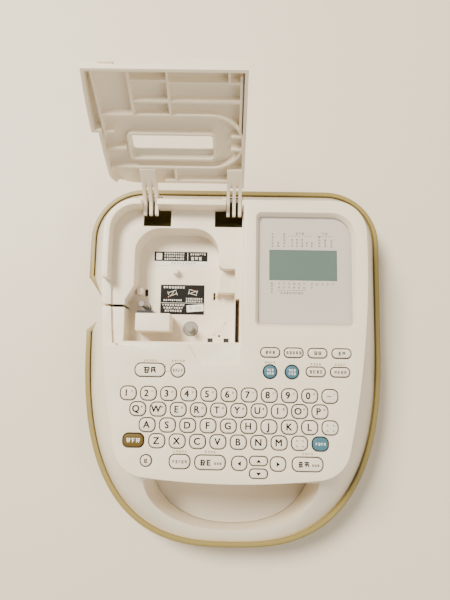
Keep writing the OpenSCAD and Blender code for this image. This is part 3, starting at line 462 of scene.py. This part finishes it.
def deck_captions():
    """Small made-up captions over some keys, and a bracket beside the print key."""
    deck = Ink("deck_captions", "case", INK_ORANGE)
    for x, y, n in ((-45.5, 106.6, 5), (-30.2, 106.6, 5), (20.3, 106.6, 4), (45.3, 106.0, 4),
                    (58.6, 106.0, 4), (-27.9, 58.3, 5), (-11.6, 58.3, 4), (40.6, 58.2, 4)):
        deck.signs(x, y, n, 1.3, 1.3, DECK_INK_Z, int(x) + n, 0.25, 0.2)
    deck.make()
    soft = Ink("deck_marks", "case", INK_PALE)
    line = 0.25
    soft.bar(-37.1, 102.9, line, 4.2, DECK_INK_Z)
    soft.bar(-34.6, 102.9, line, 4.2, DECK_INK_Z)
    soft.bar(-35.85, 100.6, 2.5, line, DECK_INK_Z)
    soft.make()


shade_gaps()
for node, legends in (("number_row", "1234567890"), ("q_row", "QWERTYUIOP"),
                      ("a_row", "ASDFGHJKL"), ("z_row", "ZXCVBNM")):
    row_legends(node, legends)
for node, signs in KEY_SIGNS.items():
    key_signs(node, *signs)
for node in ("cancel_key", "erase_key"):
    two_line_signs(node)
for node, turn in ARROWS.items():
    key_arrow(node, turn)
deck_captions()


# ---------------------------------------------------------------- display
MASK_INK_Z = 51.32
SIGN_W, SIGN_H = 1.25, 1.35
SIGN_STEP = 1.75  # down a column
LINE = 0.16
# Columns of signs over the liquid crystal: X, Y of the top one, count
COLUMNS = ((21.7, 180.2, 5), (25.0, 175.2, 2), (28.4, 180.2, 5), (33.0, 177.0, 3), (35.8, 177.0, 3),
           (38.7, 177.0, 3), (41.5, 175.2, 2), (44.2, 175.2, 2), (48.6, 178.6, 4), (52.0, 177.0, 3),
           (55.6, 176.8, 3))


def mask_marks():
    """Made-up signs printed round the liquid crystal."""
    mask = Ink("mask_marks", "case", INK_AND_GAP_SHADE)
    z = MASK_INK_Z
    for x, y, n in COLUMNS:
        for k in range(n):
            mask.sign(x, y - k * SIGN_STEP, SIGN_W, SIGN_H, z, int(x * 3) + k, 0.2)
    mask.bar(37.5, 179.3, 13.5, LINE, z)
    mask.bar(52.2, 179.3, 8.8, LINE, z)
    mask.signs(37.4, 180.8, 3, SIGN_H, SIGN_H, z, 4, 0.4, 0.2)
    mask.signs(51.8, 180.8, 2, SIGN_H, SIGN_H, z, 5, 0.4, 0.2)
    for k in range(4):
        mask.sign(21.4, 151.5 - k * SIGN_STEP, SIGN_W, SIGN_H, z, 60 + k, 0.2)
    for k in range(6):
        x = 25.6 + k * 2.85
        mask.sign(x, 151.4, SIGN_W, SIGN_H, z, 90 + k, 0.18)
        mask.sign(x, 149.1, 1.6, SIGN_H, z, 110 + k, 0.18)
    mask.bar(32.8, 147.6, 16, LINE, z)
    mask.signs(32.8, 146.0, 8, 1.3, SIGN_H, z, 95, 0.35, 0.19)
    for k in range(5):
        mask.sign(44.2 + k * 3.0, 151.3, 1.3, SIGN_H, z, 130 + k, 0.18)
    mask.sign(44.2, 149.4, 1.3, SIGN_H, z, 140, 0.18)
    mask.make()


mask_marks()


# ---------------------------------------------------------------- labels in the bay
WELL_Z = 26.0
LABEL_T = 0.15
LABEL_INK_Z = WELL_Z + LABEL_T + 0.02
UPPER_LABEL = (-33.2, 170.4)
LOWER_LABEL = (-31.6, 144.7)


def framed_picture(ink, x, y, w, h, turn):
    """A tilted box with a stroke across it, for a drawing on a label."""
    edge = 0.28
    for dx, dy, bw, bh, t in ((0, h / 2, w, edge, turn), (0, -h / 2, w, edge, turn),
                              (-w / 2, 0, edge, h, turn), (w / 2, 0, edge, h, turn),
                              (0, 0, w * 0.6, 0.25, turn + 35)):
        ink.bar(x + dx, y + dy, bw, bh, LABEL_INK_Z, t)


def bay_labels():
    """White, amber and dark made-up print on the two labels."""
    z = LABEL_INK_Z
    over = z + 0.01
    white = Ink("label_white_print", "case", INK_WHITE)
    x, y = UPPER_LABEL
    white.bar(x, y - 3.0, 33, 2.8, z)
    white.bar(x - 13.6, y + 1.4, 3.6, 4.2, z)
    for k in range(3):
        white.signs(x - 4.2, y + 3.2 - 1.7 * k, 9, 1.15, 1.1, z, 40 + k, 0.25, 0.2)
    white.bar(x + 4.2, y + 1.4, 0.35, 5, z)
    white.signs(x + 10.6, y + 2.9, 7, 1.15, 1.2, z, 60, 0.25, 0.2)
    white.signs(x + 9.6, y + 0.2, 3, 2.0, 2.2, z, 61, 0.4, 0.35)
    x, y = LOWER_LABEL
    white.signs(x - 5.3, y + 7.6, 8, 1.4, 1.4, z, 70, 0.3, 0.25)
    white.signs(x - 6.0, y - 0.4, 9, 1.05, 1.0, z, 71, 0.25, 0.2)
    white.signs(x + 7.2, y + 0.6, 8, 1.05, 1.0, z, 72, 0.25, 0.2)
    white.signs(x + 7.2, y - 1.0, 8, 1.05, 1.0, z, 73, 0.25, 0.2)
    white.bar(x, y - 2.1, 26, 0.2, z)
    for k in range(3):
        white.signs(x - 5.5, y - 3.4 - 1.8 * k, 9 - k, 1.25, 1.2, z, 80 + k, 0.3, 0.22)
    white.bar(x + 8.0, y - 5.2, 10.4, 4.2, z, 5)
    framed_picture(white, x - 6.2, y + 3.9, 5.2, 2.4, 20)
    framed_picture(white, x + 6.4, y + 4.6, 5.0, 2.4, -15)
    white.make()
    amber = Ink("label_amber_print", "case", INK_AMBER)
    amber.bar(x - 7.6, y + 2.4, 3.4, 0.35, over, 40)
    amber.bar(x + 7.2, y + 5.4, 2.8, 0.4, over, -30)
    amber.make()
    dark_print = Ink("label_dark_print", "case", INK_AND_GAP_SHADE)
    for k in range(9):
        dark_print.letter("0", UPPER_LABEL[0] - 5.4 + k * 1.75, UPPER_LABEL[1] - 3.0, 2.0, over)
    dark_print.letter("0 - 0 0", x + 8.0, y - 5.2, 2.6, over)
    dark_print.make()


bay_labels()


# ---------------------------------------------------------------- floor, light, camera
FLOOR_HALF = 2
table = bpy.data.meshes.new("floor")
table.from_pydata([(-FLOOR_HALF, -FLOOR_HALF, 0), (FLOOR_HALF, -FLOOR_HALF, 0),
                   (FLOOR_HALF, FLOOR_HALF, 0), (-FLOOR_HALF, FLOOR_HALF, 0)], [], [(0, 1, 2, 3)])
floor = bpy.data.objects.new("floor", table)
scene.collection.objects.link(floor)
table.materials.append(surface("table", (0.87, 0.77, 0.62), 0.5, 0.02, 60, 0, blotch=2.5))


def lamp(name, loc, size, power, rgb):
    """A round light, aimed at the origin."""
    d = bpy.data.lights.new(name, "AREA")
    d.shape = "DISK"
    d.size = size
    d.energy = power
    d.color = rgb
    o = bpy.data.objects.new(name, d)
    o.location = loc
    o.rotation_euler = (-Vector(loc)).to_track_quat("-Z", "Y").to_euler()
    scene.collection.objects.link(o)


lamp("key_light", (-0.5, 0.5, 1.1), 0.45, 31, (1.0, 0.935, 0.81))
lamp("fill_light", (0.8, -0.5, 0.9), 0.9, 6, (1.0, 0.94, 0.83))
world = bpy.data.worlds.new("studio")
scene.world = world
world.use_nodes = True
background = world.node_tree.nodes["Background"]
background.inputs["Color"].default_value = (1.0, 0.95, 0.87, 1)
background.inputs["Strength"].default_value = 0.42

# The camera looks straight down, then tilts towards the hinge, pans and rolls.
TILT, PAN, ROLL = 0.13517, 0.00811, -0.01609
CAMERA_AT = P(-2.706, 101.707, 343.711)
SENSOR = 36
FOCAL_SHARE = 520 / 600  # focal length over the frame's height
straight_down = Matrix(((1, 0, 0), (0, -1, 0), (0, 0, -1)))
turned = Matrix.Rotation(TILT, 3, "X") @ Matrix.Rotation(PAN, 3, "Y")
right, down, forward = (turned @ straight_down[i] for i in range(3))
cos_roll, sin_roll = math.cos(ROLL), math.sin(ROLL)
right, down = cos_roll * right + sin_roll * down, cos_roll * down - sin_roll * right
lens = bpy.data.cameras.new("camera")
lens.lens = FOCAL_SHARE * SENSOR
lens.sensor_width = SENSOR
camera = bpy.data.objects.new("camera", lens)
place = Matrix((right, -down, -forward)).transposed().to_4x4()
place.translation = CAMERA_AT
camera.matrix_world = place
scene.collection.objects.link(camera)
scene.camera = camera
